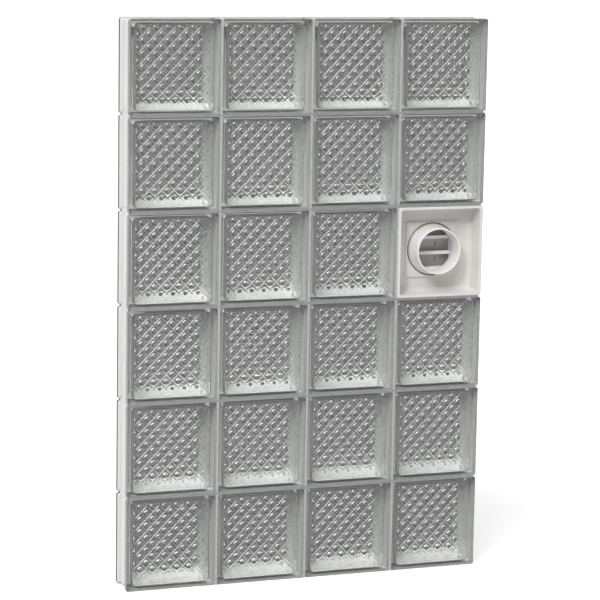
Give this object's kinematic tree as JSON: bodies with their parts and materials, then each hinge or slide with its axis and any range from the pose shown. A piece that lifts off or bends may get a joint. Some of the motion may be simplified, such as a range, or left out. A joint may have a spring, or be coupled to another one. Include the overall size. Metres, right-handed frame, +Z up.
{
  "type": "glass block window panel",
  "caption": "Frameless window panel of hollow diamond-pressed glass blocks bonded edge to edge, with a plastic dryer vent in place of one block.",
  "frame": {"origin": "middle of the panel's footprint, on the sill", "axes": "+X along the panel to the right as seen from the room, +Y towards the weather side, +Z up"},
  "size_m": [0.7872, 0.0794, 1.182],
  "materials": {
    "block_glass": "clear pressed glass, fire-polished outside, diamond relief on the inside of both panes",
    "joint_silicone": "translucent grey-white silicone, tooled flush",
    "vent_plastic": "moulded warm white plastic, satin",
    "flap_plastic": "thin moulded plastic, satin"
  },
  "bodies": {
    "panel": {"glass_block_r1_c1": "block_glass", "glass_block_r1_c2": "block_glass", "glass_block_r1_c3": "block_glass", "glass_block_r1_c4": "block_glass", "glass_block_r2_c1": "block_glass", "glass_block_r2_c2": "block_glass", "glass_block_r2_c3": "block_glass", "glass_block_r2_c4": "block_glass", "glass_block_r3_c1": "block_glass", "glass_block_r3_c2": "block_glass", "glass_block_r3_c3": "block_glass", "glass_block_r4_c1": "block_glass", "glass_block_r4_c2": "block_glass", "glass_block_r4_c3": "block_glass", "glass_block_r4_c4": "block_glass", "glass_block_r5_c1": "block_glass", "glass_block_r5_c2": "block_glass", "glass_block_r5_c3": "block_glass", "glass_block_r5_c4": "block_glass", "glass_block_r6_c1": "block_glass", "glass_block_r6_c2": "block_glass", "glass_block_r6_c3": "block_glass", "glass_block_r6_c4": "block_glass", "bed_joint_1": "joint_silicone", "bed_joint_2": "joint_silicone", "bed_joint_3": "joint_silicone", "bed_joint_4": "joint_silicone", "bed_joint_5": "joint_silicone", "upright_joint_1": "joint_silicone", "upright_joint_2": "joint_silicone", "upright_joint_3": "joint_silicone", "vent_tray": "vent_plastic", "vent_collar": "vent_plastic", "louvre_frame": "vent_plastic"},
    "flap_top": {"louvre_flap_top": "flap_plastic"},
    "flap_middle": {"louvre_flap_middle": "flap_plastic"},
    "flap_bottom": {"louvre_flap_bottom": "flap_plastic"}
  },
  "joints": [
    {"name": "flap_top_hinge", "type": "hinge", "parent": "panel", "child": "flap_top", "pos_m": [0.2961, 0.0273, 0.746], "axis": [1, 0, 0], "range_deg": [0, 65]},
    {"name": "flap_middle_hinge", "type": "hinge", "parent": "panel", "child": "flap_middle", "pos_m": [0.2961, 0.0273, 0.7127], "axis": [1, 0, 0], "range_deg": [0, 65]},
    {"name": "flap_bottom_hinge", "type": "hinge", "parent": "panel", "child": "flap_bottom", "pos_m": [0.2961, 0.0273, 0.6794], "axis": [1, 0, 0], "range_deg": [0, 65]}
  ]
}
